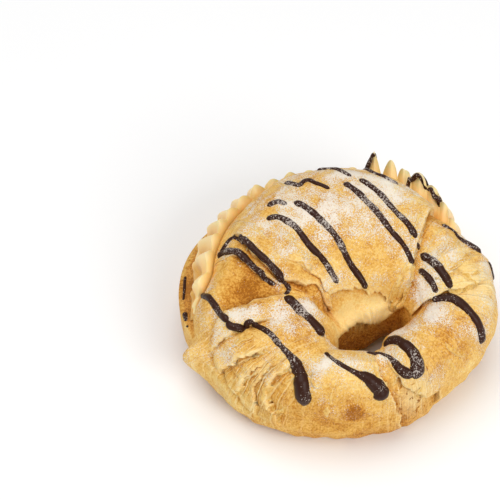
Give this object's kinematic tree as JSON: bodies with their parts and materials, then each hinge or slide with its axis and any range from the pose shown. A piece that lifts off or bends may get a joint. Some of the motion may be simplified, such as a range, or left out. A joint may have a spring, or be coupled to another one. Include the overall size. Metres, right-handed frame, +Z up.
{
  "type": "custard croissant",
  "caption": "Ring-shaped flaky croissant, slit round its thick side and filled with piped custard, drizzled with dark chocolate and dusted with icing sugar.",
  "frame": {"origin": "on the floor under the middle of the whole pastry", "axes": "+Z up through the ring, -Y towards the viewer of the picture where the two tips meet, +X to the viewer's right"},
  "size_m": [0.127, 0.119, 0.0573],
  "materials": {
    "pastry": "matt",
    "custard": "satin"
  },
  "bodies": {
    "root": {"pastry": "pastry", "custard": "custard"}
  },
  "joints": []
}
